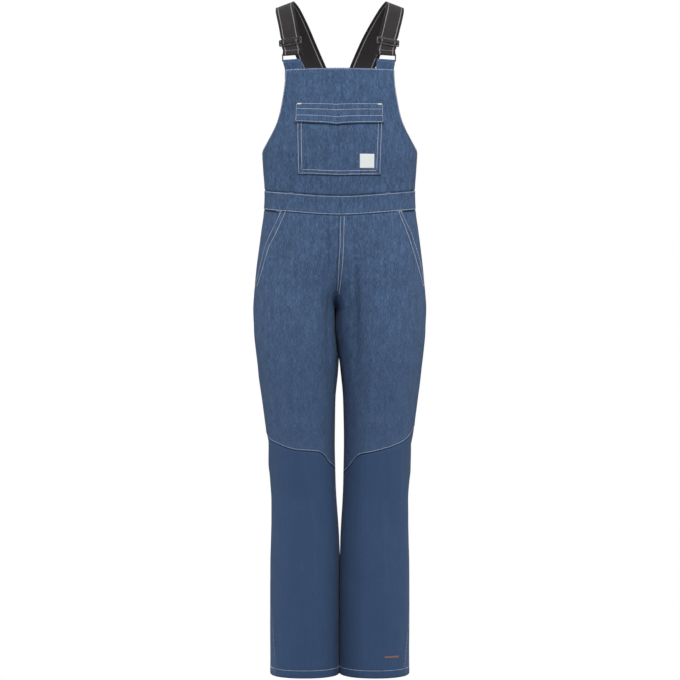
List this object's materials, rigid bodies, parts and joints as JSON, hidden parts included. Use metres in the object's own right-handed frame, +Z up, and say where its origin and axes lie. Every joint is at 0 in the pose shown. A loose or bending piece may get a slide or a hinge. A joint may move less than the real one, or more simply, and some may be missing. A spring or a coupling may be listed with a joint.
{
  "type": "ski bib overalls",
  "caption": "Worn, hollow ski bib overalls in a denim-look softshell with a bib pocket, slant hip pockets, straight legs and adjustable webbing shoulder straps.",
  "frame": {"origin": "midway between the shoulder straps, level with the undersides of their inner edges at the top of the shoulders", "axes": "+Z up, -Y out of the front of the garment, +X towards the wearer's left"},
  "size_m": [0.3628, 0.2516, 1.4107],
  "materials": {
    "denim_softshell": "matte woven softshell with a mottled blue denim look and fine upright slubs, light topstitching",
    "lower_softshell": "matte, smoother and darker blue softshell of the lower legs",
    "woven_label": "plain white woven tape, bare",
    "webbing": "charcoal ribbed elastic webbing with a lighter grey stripe inside each edge",
    "slider": "dark grey moulded plastic, satin",
    "ring": "black coated metal, satin"
  },
  "bodies": {
    "root": {"bib_front": "denim_softshell", "bib_pocket": "denim_softshell", "pocket_flap": "denim_softshell", "pocket_label": "woven_label", "bib_back": "denim_softshell", "waistband_front": "denim_softshell", "waistband_back": "denim_softshell", "front_thigh_left": "denim_softshell", "hip_facing_left": "denim_softshell", "front_shin_left": "lower_softshell", "back_leg_left": "denim_softshell", "tab_left": "denim_softshell", "strap_left": "webbing", "slider_left": "slider", "ring_left": "ring", "front_thigh_right": "denim_softshell", "hip_facing_right": "denim_softshell", "front_shin_right": "lower_softshell", "back_leg_right": "denim_softshell", "tab_right": "denim_softshell", "strap_right": "webbing", "slider_right": "slider", "ring_right": "ring"}
  },
  "joints": []
}
